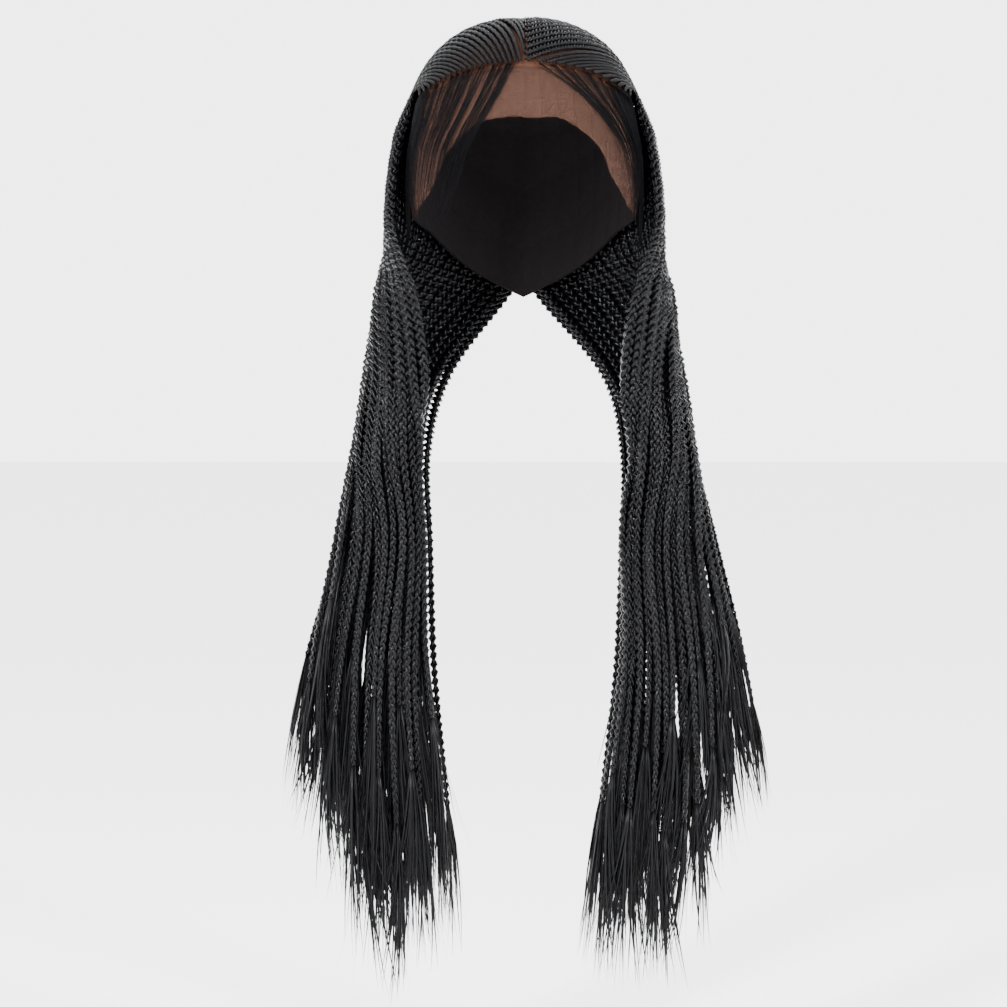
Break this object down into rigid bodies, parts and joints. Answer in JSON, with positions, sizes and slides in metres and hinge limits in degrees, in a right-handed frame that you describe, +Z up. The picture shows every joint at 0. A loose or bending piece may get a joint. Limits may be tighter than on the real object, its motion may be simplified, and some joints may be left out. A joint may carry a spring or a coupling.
{
  "type": "braid wig",
  "caption": "Long braided lace-front wig: net cap, sheer lace hairline, centre-parted cornrows, slim braids in two front curtains that end in loose tassels, swept hairline hair.",
  "frame": {"origin": "inside of the crown, on the head's upright axis, where the top of the head carries the cap", "axes": "+Z up, the face looks along -Y, +X is the wearer's left, which is the viewer's right"},
  "size_m": [0.3253, 0.2017, 0.7025],
  "materials": {
    "dark_hair": "near-black braided synthetic fibre with a soft sheen",
    "cap_net": "black stretch net, matt",
    "brown_lace": "sheer brown lace net, matt"
  },
  "bodies": {
    "root": {"wig_cap": "cap_net", "lace_front": "brown_lace", "cornrows_left": "dark_hair", "cornrows_right": "dark_hair", "side_braids_left": "dark_hair", "side_braids_right": "dark_hair", "back_braids_left": "dark_hair", "back_braids_right": "dark_hair", "edge_hair_left": "dark_hair", "edge_hair_right": "dark_hair"}
  },
  "joints": []
}
